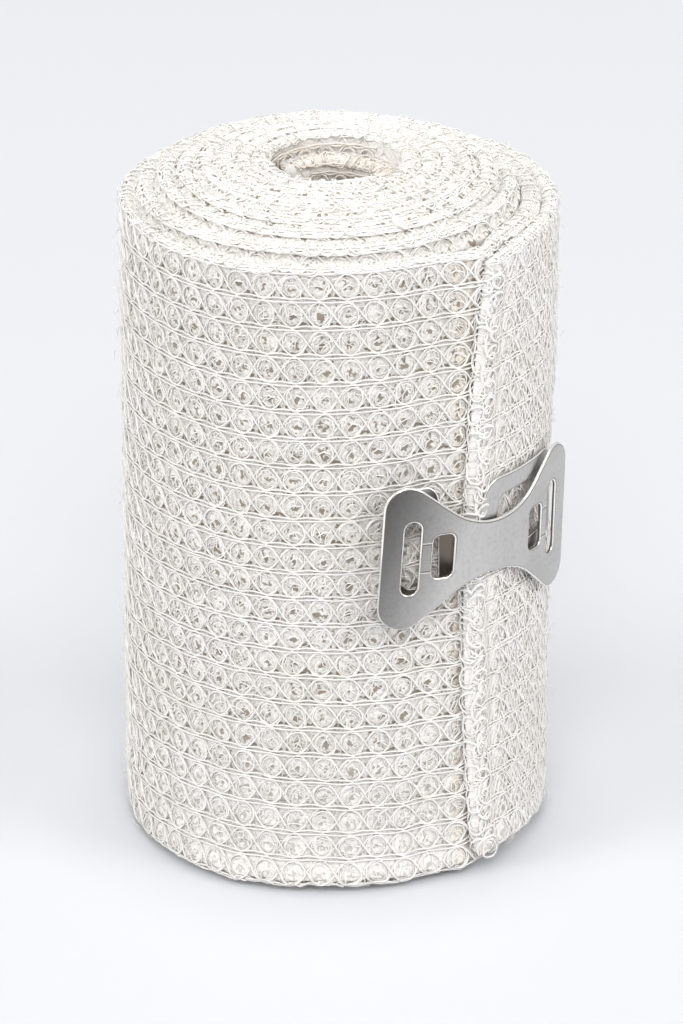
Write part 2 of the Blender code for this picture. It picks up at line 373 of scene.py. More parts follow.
CELL_INPUTS = [
    ("Columns", "Int"),
    ("Rows", "Int"),
    ("Column Pitch", "Float"),
    ("Row Pitch", "Float"),
    ("Middle", "Vector"),
    ("Yarn Radius", "Float"),
    ("Segments", "Int"),
    ("Unevenness", "Float"),
    ("Seed", "Int"),
    ("Material", "Material"),
]


class YarnTree(Nodes):
    """A node tree that makes yarns on the flat cloth, with named inputs: the usual ones and extra numbers."""

    def __init__(self, name, *extra):
        self.tree = bpy.data.node_groups.new(name, "GeometryNodeTree")
        for label, kind in CELL_INPUTS + [(label, "Float") for label in extra]:
            self.tree.interface.new_socket(label, in_out="INPUT", socket_type="NodeSocket" + kind)
        self.tree.interface.new_socket("Geometry", in_out="OUTPUT", socket_type="NodeSocketGeometry")
        self.given = self.tree.nodes.new("NodeGroupInput").outputs

    def vector(self, x=0.0, y=0.0, z=0.0):
        return self.node("ShaderNodeCombineXYZ", {"X": x, "Y": y, "Z": z})

    def yarn(self, curve):
        """A round yarn along a curve."""
        section = {"Resolution": 3, "Radius": self.given["Yarn Radius"]}
        profile = self.node("GeometryNodeCurvePrimitiveCircle", section)
        return self.node("GeometryNodeCurveToMesh", {"Curve": curve, "Profile Curve": profile})

    def join(self, *parts):
        made = self.tree.nodes.new("GeometryNodeJoinGeometry")
        for part in parts:
            self.tree.links.new(part, made.inputs[0])
        return made.outputs[0]

    def shifted(self, geometry, shift):
        return self.node("GeometryNodeTransform", {"Geometry": geometry, "Translation": shift})

    def grid(self):
        """A point for each cell of the knit, round the point named Middle."""
        columns, rows = self.given["Columns"], self.given["Rows"]
        width = self.times(self.math("SUBTRACT", columns, 1.0), self.given["Column Pitch"])
        height = self.times(self.math("SUBTRACT", rows, 1.0), self.given["Row Pitch"])
        cells = {"Size X": width, "Size Y": height, "Vertices X": columns, "Vertices Y": rows}
        return self.shifted(self.node("GeometryNodeMeshGrid", cells), self.given["Middle"])

    def column(self):
        """A point for each row, over the point named Middle."""
        rows, pitch = self.given["Rows"], self.given["Row Pitch"]
        line = self.node("GeometryNodeMeshLine", {"Count": rows, "Offset": self.vector(y=pitch)})
        down = self.times(self.math("SUBTRACT", rows, 1.0), pitch, -0.5)
        return self.shifted(self.shifted(line, self.vector(y=down)), self.given["Middle"])

    def random(self, low, high, seed):
        values = {0: low, 1: high, "Seed": self.math("ADD", self.given["Seed"], seed)}
        return self.node("FunctionNodeRandomValue", values, data_type="FLOAT_VECTOR")

    def random_turn(self, low, high):
        """Tipped off the cloth by up to Tilt either way, and turned on it by between low and high."""
        tilt = self.given["Tilt"]
        back = self.times(tilt, -1.0)
        return self.random(self.vector(back, back, low), self.vector(tilt, tilt, high), 0.0)

    def done(self, points, piece, rotation=None, scale=None):
        """Copies the piece to the points. Each copy strays a little, and never the same way twice."""
        cells = {"Points": points, "Instance": piece}
        if rotation:
            cells["Rotation"] = rotation
        if scale:
            cells["Scale"] = scale
        copies = self.node("GeometryNodeInstanceOnPoints", cells)
        shift = self.vector(z=self.times(self.given["Seed"], 0.1))
        place = self.vectors("ADD", self.node("GeometryNodeInputPosition"), shift)
        noise = {"Vector": place, "Scale": STRAY_SCALE, "Detail": 1.0}
        noise = self.node("ShaderNodeTexNoise", noise, output="Color")
        centred = self.vectors("SUBTRACT", noise, (0.5, 0.5, 0.5))
        offset = self.vectors("SCALE", centred, self.times(self.given["Unevenness"], 2.0))
        real = self.node("GeometryNodeRealizeInstances", {"Geometry": copies})
        real = self.node("GeometryNodeSetPosition", {"Geometry": real, "Offset": offset})
        made = self.node("GeometryNodeSetMaterial", {"Geometry": real, "Material": self.given["Material"]})
        self.tree.links.new(made, self.tree.nodes.new("NodeGroupOutput").inputs[0])
        return self.tree


def ring_tree():
    """A ring of yarn in each cell, a little different each time."""
    t = YarnTree("rings", "Ring Radius", "Ring Height", "Tilt")
    circle = {"Resolution": t.given["Segments"], "Radius": t.given["Ring Radius"]}
    ring = t.yarn(t.node("GeometryNodeCurvePrimitiveCircle", circle))
    turn = t.random_turn(-0.3, 0.3)
    size = t.random((0.92, 0.92, 1.0), (1.07, 1.07, 1.0), 7.0)
    size = t.vectors("MULTIPLY", size, t.vector(1.0, t.given["Ring Height"], 1.0))
    return t.done(t.grid(), ring, turn, size)


def crossing_tree():
    """Two yarns in each cell: from the weft above a ring, round that ring, and on round the next one."""
    t = YarnTree("crossings", "Fall", "Lift")
    half = t.times(t.given["Row Pitch"], 0.5)
    above_ring = t.math("SUBTRACT", half, t.given["Fall"])
    parts = []
    for side in (1.0, -1.0):
        across = t.times(t.given["Column Pitch"], side)
        reach = t.times(across, 0.5)
        lift = t.times(t.given["Lift"], side)
        bend = {
            "Resolution": t.given["Segments"],
            "Start": t.vector(0.0, half, 0.0),
            "Start Handle": t.vector(reach, above_ring, lift),
            "End Handle": t.vector(reach, t.times(above_ring, -1.0), lift),
            "End": t.vector(across, t.times(half, -1.0), 0.0),
        }
        parts.append(t.yarn(t.node("GeometryNodeCurvePrimitiveBezierSegment", bend)))
    return t.done(t.grid(), t.join(*parts))


def waved_line(t, length, count, phase):
    """A yarn from end to end of a length, that waves aside once in each cell."""
    half = t.times(length, 0.5)
    ends = {"Start": t.vector(t.times(half, -1.0)), "End": t.vector(half)}
    line = t.node("GeometryNodeCurvePrimitiveLine", ends)
    line = t.node("GeometryNodeResampleCurve", {"Curve": line, "Count": count})
    along = t.split(t.node("GeometryNodeInputPosition"))[0]
    turns = t.math("ADD", t.math("DIVIDE", along, t.given["Column Pitch"]), phase)
    wave = t.math("COSINE", t.times(turns, 2.0 * math.pi))
    offset = t.times(t.math("SUBTRACT", 1.0, wave), 0.5, t.given["Wave"])
    return t.yarn(t.node("GeometryNodeSetPosition", {"Geometry": line, "Offset": t.vector(y=offset)}))


def weft_tree():
    """Long yarns along the strip, one in each row, that wave with the columns."""
    t = YarnTree("wefts", "Wave", "Phase")
    columns = t.given["Columns"]
    count = t.math("ADD", t.times(columns, t.given["Segments"]), 1.0)
    line = waved_line(t, t.times(columns, t.given["Column Pitch"]), count, t.given["Phase"])
    return t.done(t.column(), line)


def warp_tree():
    """One long yarn across the strip, waved as the rows are."""
    t = YarnTree("warps", "Wave", "Length")
    line = waved_line(t, t.given["Length"], WARP_POINTS, 0.0)
    return t.done(t.column(), line, rotation=(0.0, 0.0, math.pi / 2.0))


def fibre_tree():
    """Short bent fibres, strewn over a patch of cloth."""
    t = YarnTree("fibres", "Size X", "Size Y", "Density", "Curl Radius", "Sweep", "Tilt")
    given = t.given
    patch = t.node("GeometryNodeMeshGrid", {"Size X": given["Size X"], "Size Y": given["Size Y"]})
    patch = t.shifted(patch, given["Middle"])
    where = {"Mesh": patch, "Density": given["Density"], "Seed": given["Seed"]}
    points = t.node("GeometryNodeDistributePointsOnFaces", where)
    bend = {"Resolution": given["Segments"], "Radius": given["Curl Radius"], "Sweep Angle": given["Sweep"]}
    to_its_middle = t.vector(t.times(given["Curl Radius"], -0.8))
    piece = t.yarn(t.shifted(t.node("GeometryNodeCurveArc", bend), to_its_middle))
    return t.done(points, piece, t.random_turn(0.0, ANY_WAY))


TREES = {
    "rings": ring_tree,
    "crossings": crossing_tree,
    "wefts": weft_tree,
    "warps": warp_tree,
    "fibres": fibre_tree,
}


def grown(kind, values):
    """The plain mesh that a node tree makes with these values."""
    tree = bpy.data.node_groups.get(kind) or TREES[kind]()
    material = bpy.data.materials.get("crepe_yarn") or yarn_material()
    values = {"Material": material, **values}
    holder = add_object("growing", bpy.data.meshes.new("growing"))
    modifier = holder.modifiers.new("growing", "NODES")
    modifier.node_group = tree
    for item in tree.interface.items_tree:
        if item.in_out == "INPUT" and item.name in values:
            modifier[item.identifier] = values[item.name]
    bpy.context.view_layer.update()
    mesh = bpy.data.meshes.new_from_object(holder.evaluated_get(bpy.context.evaluated_depsgraph_get()))
    bpy.data.objects.remove(holder, do_unlink=True)
    if not mesh.polygons:
        raise RuntimeError("The tree " + kind + " made no yarn")
    return mesh


# ---------------------------------------------------------------- materials


class Paint(Nodes):
    """A material under construction: nodes that end in a Principled shader."""

    def __init__(self, name):
        self.material = bpy.data.materials.new(name)
        self.material.use_nodes = True
        self.tree = self.material.node_tree
        self.shader = self.tree.nodes["Principled BSDF"]

    def place(self):
        return self.node("ShaderNodeTexCoord", output="Object")

    def attribute(self, name, output="Fac"):
        return self.node("ShaderNodeAttribute", attribute_name=name, output=output)

    def noise(self, scale, detail=2.0):
        return self.node("ShaderNodeTexNoise", {"Vector": self.place(), "Scale": scale, "Detail": detail})

    def ramp(self, value, stops):
        """Colours at places from 0 to 1."""
        made = self.tree.nodes.new("ShaderNodeValToRGB")
        elements = made.color_ramp.elements
        for k, (place, colour) in enumerate(stops):
            element = elements[k] if k < 2 else elements.new(place)
            element.position = place
            element.color = (*colour, 1.0)
        self.tree.links.new(value, made.inputs[0])
        return made.outputs[0]

    def within(self, value, low, high):
        """1 where the value is up to low, and 0 from high on."""
        limits = {"Value": value, "From Min": low, "From Max": high, "To Min": 1.0, "To Max": 0.0}
        return self.node("ShaderNodeMapRange", limits, interpolation_type="SMOOTHSTEP")

    def beyond(self, value, low, high):
        """0 where the value is up to low, and 1 from high on."""
        return self.math("SUBTRACT", 1.0, self.within(value, low, high))

    def near(self, value, place, inner, outer):
        """1 up to inner from the place, and 0 from outer on."""
        return self.within(self.math("ABSOLUTE", self.math("SUBTRACT", value, place)), inner, outer)

    def distance(self, x, y):
        return self.math("SQRT", self.math("ADD", self.times(x, x), self.times(y, y)))

    def mix(self, share, one, two, blend="MIX"):
        made = self.tree.nodes.new("ShaderNodeMix")
        made.data_type = "RGBA"
        made.blend_type = blend
        # A mix has inputs of every data type, and those of its colours are the sixth and the seventh
        for key, value in ((0, share), (6, one), (7, two)):
            if isinstance(value, bpy.types.NodeSocket):
                self.tree.links.new(value, made.inputs[key])
            else:
                made.inputs[key].default_value = value if key == 0 else (*value, 1.0)
        return made.outputs[2]

    def tinted(self, colour, tint, share=1.0):
        """The colour times the tint, as far as the share says."""
        product = self.mix(1.0, colour, tint, "MULTIPLY")
        return product if share == 1.0 else self.mix(share, colour, product)

    def bump(self, height, strength, distance):
        bump = self.node("ShaderNodeBump", {"Height": height, "Strength": strength, "Distance": distance})
        self.tree.links.new(bump, self.shader.inputs["Normal"])

    def set(self, **values):
        for label, value in values.items():
            socket = self.shader.inputs[label.replace("_", " ")]
            if isinstance(value, bpy.types.NodeSocket):
                self.tree.links.new(value, socket)
            else:
                socket.default_value = value
        return self.material


def yarn_material():
    """Off-white cotton yarn, painted darker and warmer as shade where it lies deep in the cloth, and painted
    warmer as shade in the open core.
    """
    colours = bpy.context.scene.bandage_colours
    paint = Paint("crepe_yarn")
    # Painted shade: yarns that lie deep in the cloth get a darker, warmer colour
    shallow = paint.within(paint.attribute("depth"), 0.35, 1.2)
    colour = paint.mix(shallow, tuple(colours.deep_yarn_shade), tuple(colours.yarn))
    patches = paint.ramp(paint.noise(90.0), [(0.35, (0.97, 0.96, 0.94)), (0.65, WHITE)])
    colour = paint.tinted(colour, patches)
    # Painted shade: yarns in the open core are tinted warmer and darker
    x, y, up = paint.split(paint.vectors("SUBTRACT", paint.place(), tuple(ROLL_AXIS)))
    core_shade = paint.within(paint.distance(x, y), *CORE_RADII)
    core_shade = paint.times(core_shade, paint.within(up, *CORE_HEIGHTS))
    colour = paint.tinted(colour, (0.97, 0.925, 0.875), core_shade)
    paint.bump(paint.noise(2600.0, 3.0), 0.35, 0.1 * MM)
    return paint.set(Base_Color=colour, Roughness=0.9, Specular_IOR_Level=0.2)


def from_cell_middle(paint, cells, middle, pitch):
    """Millimetres from the nearest cell's middle, for a place that counts in cells."""
    turned = paint.math("FRACT", paint.math("ADD", cells, 0.5 - middle))
    return paint.times(paint.math("SUBTRACT", turned, 0.5), pitch / MM)


def cloth_material():
    """The cloth behind the outer yarns: pale, with small brown spots of painted shade in the gaps within the
    rings and beside the wefts.
    """
    colours = bpy.context.scene.bandage_colours
    yarn = tuple(colours.yarn)
    paint = Paint("crepe_ground")
    near = paint.near
    column, row, _ = paint.split(paint.attribute("cell", "Vector"))
    beside = from_cell_middle(paint, column, 0.0, COLUMN_PITCH)
    from_ring = paint.distance(beside, from_cell_middle(paint, row, RING_MIDDLE, ROW_PITCH))
    beside = paint.math("ABSOLUTE", beside)
    from_weft = from_cell_middle(paint, row, 0.0, ROW_PITCH)
    spots = paint.noise(1400.0)
    for likely in (
        paint.times(0.18, paint.within(from_ring, 0.2, 1.15)),
        paint.times(0.24, near(beside, 1.4, 0.25, 0.75), near(from_weft, 0.5, 0.1, 0.45)),
        paint.times(0.24, near(beside, 0.4, 0.1, 0.6), near(from_weft, -0.6, 0.1, 0.4)),
    ):
        spots = paint.math("ADD", spots, likely)
    # The top rim and the hem have no gaps
    on_hem = paint.within(column, 0.6, 0.8)
    plain = paint.math("MAXIMUM", near(row, ROWS + 0.65, 0.5, 0.6), on_hem)
    pale = paint.math("ADD", paint.within(spots, 0.6, 0.7), plain, clamp=True)
    fibres = paint.ramp(paint.noise(2300.0, 3.0), [(0.35, (0.72, 0.7, 0.68)), (0.6, WHITE)])
    fibres = paint.mix(paint.times(plain, 0.5), fibres, WHITE)
    ground = paint.tinted(paint.mix(on_hem, tuple(colours.ground), yarn), fibres)
    # The lowest rows, and the columns from the right round to the left, get painted light: paler than those
    # in front, with lighter painted shade in their gaps
    low = paint.times(paint.within(row, 0.5, 7.0), 0.5)
    aside = paint.times(paint.within(column, 30.0, 39.0), 0.4)
    paler = paint.math("MAXIMUM", low, aside)
    ground = paint.mix(paler, ground, yarn)
    # Beside the loose end's edge, and on the core's wall, it is painted warmer and darker, as shade
    beside_end = near(column, (length_at(1.0) - FIRST_COLUMN) / COLUMN_PITCH, 0.25, 0.65)
    core_shade = paint.within(row, ROWS + 1.6, ROWS + 1.3)
    warm = paint.math("MAXIMUM", paint.times(beside_end, 0.8), core_shade)
    ground = paint.tinted(ground, (0.96, 0.89, 0.81), warm)
    # Painted shade: the gaps are dark brown, less so where the cloth is painted paler
    gap = paint.mix(paler, tuple(colours.gap), tuple(colours.ground))
    colour = paint.mix(pale, gap, ground)
    paint.bump(paint.noise(900.0, 3.0), 0.6, 0.3 * MM)
    return paint.set(Base_Color=colour, Roughness=0.95, Specular_IOR_Level=0.2)


def steel_material(name, left):
    """Satin metal with a fine grain and polished edges, painted another, darker colour towards the left as a
    dim reflection, with painted highlights and dark lines on its edges, and painted shade where it is covered
    and in its holes.
    """
    clip = bpy.context.scene.bandage_clip
    colours = bpy.context.scene.bandage_colours
    shaded_steel = tuple(colours.shaded_steel)
    paint = Paint(name)
    near = paint.near
    # Painted reflection: the metal is painted darker towards the left and the top, as if it reflected
    # something dim there
    x, _, up = paint.split(paint.place())
    along = paint.math("SUBTRACT", x, paint.times(up, 0.4))
    bright = paint.math("DIVIDE", paint.math("ADD", along, 20.0 * MM), 15.5 * MM, clamp=True)
    tone = paint.mix(paint.math("POWER", bright, 1.35), tuple(left), tuple(colours.steel))
    cloudy = paint.ramp(paint.noise(160.0, 3.0), [(0.3, (0.92, 0.92, 0.92)), (0.7, WHITE)])
    specks = paint.ramp(paint.noise(1700.0), [(0.3, (0.9, 0.9, 0.9)), (0.55, WHITE)])
    tone = paint.tinted(paint.tinted(tone, cloudy), specks)
    # Painted shade where the front plate covers the back plate
    tone = paint.mix(paint.attribute("covered"), tone, shaded_steel)
    # On the plate laid flat, the rounded edges get a painted dark line and a painted highlight, the upper
    # ones most; the highlighted part is also less rough, as polished metal is
    edge = paint.attribute("edge")
    crease_shade_and_cuts = near(edge, 0.08, 0.055, 0.07)
    polish_and_highlight = paint.beyond(edge, 0.1, 0.14)
    aside, up, covered = paint.split(paint.attribute("plan", "Vector"))
    upper = paint.beyond(up, -2.0, 2.0)
    crease_shade_and_cuts = paint.times(crease_shade_and_cuts, paint.math("MULTIPLY_ADD", upper, 0.7, 0.3), 0.85)
    polish_and_highlight = paint.times(polish_and_highlight, paint.math("MULTIPLY_ADD", upper, 0.35, 0.65))
    # Two lines cut free the tongue between each slot and its hole: dark lines, each with a painted highlight
    # beside it
    beside = near(paint.math("ABSOLUTE", aside), TONGUE_MIDDLE / MM, 0.95, 1.05)
    beside = paint.times(beside, paint.math("SUBTRACT", 1.0, covered))
    from_middle = paint.math("ABSOLUTE", up)
    cut = paint.times(beside, near(from_middle, TONGUE_HALF / MM, 0.07, 0.12))
    cut_highlight = paint.times(beside, near(from_middle, TONGUE_HALF / MM + 0.18, 0.05, 0.12), 0.6)
    crease_shade_and_cuts = paint.math("MAXIMUM", crease_shade_and_cuts, cut)
    polish_and_highlight = paint.math("MAXIMUM", polish_and_highlight, cut_highlight)
    colour = paint.mix(polish_and_highlight, paint.mix(crease_shade_and_cuts, tone, shaded_steel), tuple(colours.edge_highlight_steel))
    # Painted shade on the far half of the walls of the holes
    colour = paint.mix(paint.beyond(paint.attribute("hole"), 0.22, 0.36), colour, shaded_steel)
    metal = paint.math("SUBTRACT", 1.0, paint.times(polish_and_highlight, 0.5))
    grain = paint.noise(2300.0, 4.0)
    limits = {"Value": grain, "To Min": clip.roughness - GRAIN, "To Max": clip.roughness + GRAIN}
    rough = paint.math("SUBTRACT", paint.node("ShaderNodeMapRange", limits), paint.times(polish_and_highlight, 0.17))
    paint.bump(grain, 0.25, 0.05 * MM)
    return paint.set(Base_Color=colour, Metallic=metal, Roughness=rough)


# ---------------------------------------------------------------- settings


class BandageKnit(bpy.types.PropertyGroup):
    """Knit"""

    yarn_radius: FloatProperty(
        name="Yarn Radius",
        description="Half the width of a knitted yarn",
        default=0.125 * MM,
        unit="LENGTH",
    )
    ring_radius: FloatProperty(
        name="Ring Radius",
        description="Radius of the knitted rings",
        default=1.62 * MM,
        unit="LENGTH",
    )
    weft_wave: FloatProperty(
        name="Weft Wave",
        description="How far two wefts part between rings",
        default=0.25 * MM,
        unit="LENGTH",
    )
    unevenness: FloatProperty(
        name="Unevenness",
        description="How far a yarn strays from its place",
        default=0.2 * MM,
        unit="LENGTH",
    )
    fuzz: FloatProperty(
        name="Fuzz",
        description="Loose fibres on each square metre of cloth",
        default=90000.0,
        min=0.0,
    )
    short_yarns: FloatProperty(
        name="Short Yarns",
        description="Short yarns on each square metre of cloth",
        default=230000.0,
        min=0.0,
    )
    seed: IntProperty(name="Seed", description="Picks another unevenness", default=3)


class BandageColours(bpy.types.PropertyGroup):
    """Colours"""

    yarn: FloatVectorProperty(
        name="Yarn",
        description="Colour of the outer yarns",
        default=(0.985, 0.968, 0.94),
        subtype="COLOR",
    )
    # Painted shade: a darker, warmer colour for yarns that lie deep in the cloth
    deep_yarn_shade: FloatVectorProperty(
        name="Deep Yarn",
        description="Colour of yarns deep in the cloth",
        default=(0.97, 0.948, 0.912),
        subtype="COLOR",
    )
    ground: FloatVectorProperty(
        name="Ground",
        description="Colour of the cloth behind the yarns",
        default=(0.93, 0.91, 0.88),
        subtype="COLOR",
    )
    # Painted shade: the dark colour of the knit's gaps, where the cloth behind lies in shade
    gap: FloatVectorProperty(
        name="Gap",
        description="Colour of the small gaps in that cloth",
        default=(0.32, 0.275, 0.22),
        subtype="COLOR",
    )
    steel: FloatVectorProperty(
        name="Steel",
        description="Colour of the clip's satin metal",
        default=(0.62, 0.61, 0.59),
        subtype="COLOR",
    )
    # Painted shade: the darker colour that the front plate's metal takes towards its left, as a dim
    # reflection
    left_wing_shade: FloatVectorProperty(
        name="Left Wing Shade",
        description="Colour of the metal on the left wing",
        default=(0.13, 0.126, 0.12),
        subtype="COLOR",
    )
    # Painted highlight: the bright colour of the metal's rounded edges
    edge_highlight_steel: FloatVectorProperty(
        name="Edge Highlight",
        description="Colour of the metal's edges",
        default=(0.92, 0.91, 0.89),
        subtype="COLOR",
    )
    # Painted shade: the colour of metal under the front plate, on the far walls of holes, and of dark lines
    # on the edges
    shaded_steel: FloatVectorProperty(
        name="Covered Steel",
        description="Colour of the metal that is covered",
        default=(0.19, 0.163, 0.135),
        subtype="COLOR",
    )


class BandageClip(bpy.types.PropertyGroup):
    """Clip"""

    rounding: FloatProperty(
        name="Rounding",
        description="Width of the plates' rounded edges",
        default=0.42 * MM,
        unit="LENGTH",
    )
    roughness: FloatProperty(
        name="Roughness",
        description="How dull the metal is",
        default=0.34,
        subtype="FACTOR",
        min=0.1,
        max=0.9,
    )


class BandageStage(bpy.types.PropertyGroup):
    """Stage"""

    sky: FloatProperty(name="Sky", description="Strength of the even light all round", default=0.48, min=0.0)
    lamps: FloatProperty(name="Lamps", description="Strength of the soft lamps", default=1.0, min=0.0)


# ---------------------------------------------------------------- cloth


def moved(patches, along, across):
    """The same patches, moved on the flat cloth."""
    return [(patch[0] + along, patch[1] + across, *patch[2:]) for patch in patches]


def strands(kind, patches, depth, seed=0, **values):
    """Flat yarns of one kind on patches of cloth.

    A patch is the first cell's place along and across, the columns, the rows and the column pitch.
    """
    knit = bpy.context.scene.bandage_knit
    made = []
    for along, across, columns, rows, pitch in patches:
        middle = (along + (columns - 1) * pitch / 2.0, across + (rows - 1) * ROW_PITCH / 2.0, -depth)
        cells = {
            "Columns": columns,
            "Rows": rows,
            "Column Pitch": pitch,
            "Row Pitch": ROW_PITCH,
            "Middle": middle,
            "Phase": (columns - 1) / 2.0,
            "Yarn Radius": knit.yarn_radius,
            "Unevenness": knit.unevenness,
            "Seed": knit.seed + seed,
        }
        cells.update({key.replace("_", " ").title(): value for key, value in values.items()})
        made.append(grown(kind, cells))
    return made


def ring_strands(patches, depth, share, seed=0, **values):
    """Rings of a share of the usual radius."""
    radius = share * bpy.context.scene.bandage_knit.ring_radius
    values = {"segments": 12, "tilt": 0.1, "ring_height": 1.08, "ring_radius": radius, **values}
    return strands("rings", patches, depth, seed, **values)


def crossing_strands(patches, depth, seed=0, **values):
    values = {"segments": 7, "fall": 0.9 * MM, "lift": 0.16 * MM, **values}
    return strands("crossings", patches, depth, seed, **values)


def weft_strands(patches, depth, waves, seed=0, **values):
    """Yarns along the strip that part between the rings, each by its own wave."""
    knit = bpy.context.scene.bandage_knit
    values = {"segments": 5, "unevenness": 0.6 * knit.unevenness, **values}
    made = []
    for k, wave in enumerate(waves):
        made += strands("wefts", patches, depth, seed + k, wave=wave, **values)
    return made


def outer_cells():
    return [(FIRST_COLUMN + COLUMN_PITCH, FIRST_ROW, OUTER_COLUMNS - 1, ROWS, COLUMN_PITCH)]


def net_cells():
    """A finer net over the columns beside the hem."""
    return [(FIRST_COLUMN + COLUMN_PITCH, FIRST_ROW + ROW_PITCH / 2.0, 14, ROWS, COLUMN_PITCH / 2.0)]


def band_cells():
    """The top row of the inner turns that stand clear of their neighbours."""
    return [(length_at(1.03), FIRST_ROW + (ROWS - 1) * ROW_PITCH, BAND_COLUMNS, 1, COLUMN_PITCH)]


def ground_inset(turns, across):
    """How deep the ground lies under the cloth's surface, so that there is room for the yarns on it.

    It is shallow at the rims and under the hem. Below the band that shows of it, an inner turn comes out to
    meet its neighbour, so that no light falls between them.
    """
    below_crest = PATH_LENGTH - across
    stands_clear = np.maximum(top_height(turns) - top_height(turns - 1.0), 0.0)
    inner = smooth_step((turns - 1.02) / 0.06)
    shallow = 0.22 + 0.18 * smooth_step((turns - 0.02) / 0.02) + 0.12 * smooth_step((turns - 0.12) / 0.05)
    outer_face = 0.1 + shallow * smooth_step(below_crest / (1.6 * MM))
    closed = smooth_step((below_crest - stands_clear - 0.5 * MM) / (0.5 * MM))
    inner_face = 0.1 + 0.4 * smooth_step(below_crest / (1.6 * MM)) - 1.1 * closed
    inside = 0.12 + 0.43 * smooth_step((turns - TURNS + 1.3) / 0.1)
    face = outer_face + (inner_face - outer_face) * inner
    return MM * np.where(across > PATH_LENGTH + 0.6 * MM, inside, face)


def ground_stations():
    """Places along the strip, close together on the loose end's rounded edge."""
    tip = RIM * (1.0 - np.linspace(0.49 * math.pi, 0.0, 7))
    return np.concatenate([tip, np.linspace(RIM, length_at(TURNS - 0.004), 560)[1:]])


def ground_section():
    """Places once round the strip's section: base rim, outside, top rim, inside."""
    quarter = RIM * math.pi / 2.0
    rim = np.linspace(-quarter, quarter, 9)
    outside = np.linspace(quarter, PATH_LENGTH - 9.0 * MM, 30)[1:]
    below_top = PATH_LENGTH - np.arange(8.0, 2.0, -0.5) * MM
    inside = PATH_LENGTH + np.linspace(quarter, PATH_LENGTH - quarter, 13)[1:-1]
    return np.concatenate([rim, outside, below_top, PATH_LENGTH + rim, inside])


class BANDAGE_OT_cloth(bpy.types.Operator):
    """Add the wound strip of cloth that lies behind the outer yarns"""

    bl_idname = "bandage.cloth"
    bl_label = "Wound Cloth"

    def execute(self, context):
        way = ground_section()
        mesh = bmesh.new()
        cell = mesh.verts.layers.float_vector.new("cell")
        rings = []
        for station in ground_stations():
            turns = np.interp(station, LENGTH_TABLE, TURN_TABLE)
            flat = np.stack([np.full(len(way), station), way, -ground_inset(turns, way)], axis=1)
            places = (flat - drift(flat))[:, :2]
            flat[flat[:, 1] > 1.5 * PATH_LENGTH, 1] -= 2.0 * PATH_LENGTH
            ring = [mesh.verts.new(point) for point in roll_up(flat)]
            for vert, (along, across) in zip(ring, places):
                vert[cell] = ((along - FIRST_COLUMN) / COLUMN_PITCH, (across - FIRST_ROW) / ROW_PITCH, 0.0)
            rings.append(ring)
        for one, two in zip(rings, rings[1:]):
            for k in range(len(one)):
                n = (k + 1) % len(one)
                mesh.faces.new((one[k], one[n], two[n], two[k]))
        mesh.faces.new(rings[0])
        mesh.faces.new(rings[-1])
        bmesh.ops.recalc_face_normals(mesh, faces=mesh.faces)
        data = bpy.data.meshes.new("wound_cloth")
        mesh.to_mesh(data)
        mesh.free()
        data.materials.append(cloth_material())
        made = finished(add_object("wound_cloth", data))
        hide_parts("bandage_roll")
        return {"FINISHED"}


class BANDAGE_OT_knit(bpy.types.Operator):
    """Add the yarns of the outer turn, and of the band of each inner turn that shows above its neighbour"""

    bl_idname = "bandage.knit"
    bl_label = "Outer Knit"

    def execute(self, context):
        knit = context.scene.bandage_knit
        both = outer_cells() + band_cells()
        rings = moved(both, 0.0, 1.95 * MM)
        fine = {"yarn_radius": 0.75 * knit.yarn_radius, "unevenness": 2.0 * knit.unevenness}
        rolled("knit_rings_inner", ring_strands(rings, 0.36 * MM, 0.88, segments=9, tilt=0.2, **fine))
        parts = ring_strands(rings, 0.24 * MM, 1.0, seed=11, segments=13, ring_height=1.16)
        rolled("knit_rings_outer", parts)
        thick = {"yarn_radius": 1.25 * knit.yarn_radius}
        loose = {"unevenness": 2.5 * knit.unevenness}
        between = moved(both, 0.0, ROW_PITCH / 2.0 - 0.1 * MM)
        rolled("knit_crossings", crossing_strands(between, 0.2 * MM, **thick))
        shape = {"segments": 5, "fall": 0.7 * MM, "yarn_radius": 0.85 * knit.yarn_radius, **loose}
        parts = crossing_strands(between, 0.36 * MM, seed=31, **shape)
        for k, share in enumerate((0.1, 0.6)):
            net = moved(net_cells(), 0.0, share * ROW_PITCH)
            parts += crossing_strands(net, 0.12 * MM, seed=33 + k, **shape)
        rolled("knit_loose_crossings", parts)
        band = band_cells()[0]
        lines = [(FIRST_COLUMN, FIRST_ROW + ROW_PITCH, OUTER_COLUMNS, ROWS, COLUMN_PITCH)]
        lines += [(band[0], band[1], BAND_COLUMNS, 2, COLUMN_PITCH)]
        thick = {"yarn_radius": 1.5 * knit.yarn_radius}
        parts = weft_strands(moved(lines, 0.0, -0.22 * MM), 0.06 * MM, (-0.04 * MM,), **thick)
        parts += weft_strands(moved(lines, 0.0, 0.15 * MM), 0.1 * MM, (knit.weft_wave,), seed=1, **thick)
        rolled("knit_wefts", parts)
        return {"FINISHED"}


class BANDAGE_OT_under_knit(bpy.types.Operator):
    """Add the yarns that show in the middles of the rings"""

    bl_idname = "bandage.under_knit"
    bl_label = "Under Knit"

    def execute(self, context):
        knit = context.scene.bandage_knit
        loose = {"unevenness": 3.0 * knit.unevenness, "segments": 7}
        one = moved(outer_cells(), 0.42 * COLUMN_PITCH, 0.62 * ROW_PITCH)
        two = moved(outer_cells(), 0.08 * COLUMN_PITCH, 0.25 * ROW_PITCH)
        parts = ring_strands(one, 0.58 * MM, 0.95, seed=41, tilt=0.2, ring_height=0.9, **loose)
        parts += ring_strands(two, 0.54 * MM, 0.7, seed=42, tilt=0.2, **loose)
        rolled("under_knit", parts)
        return {"FINISHED"}


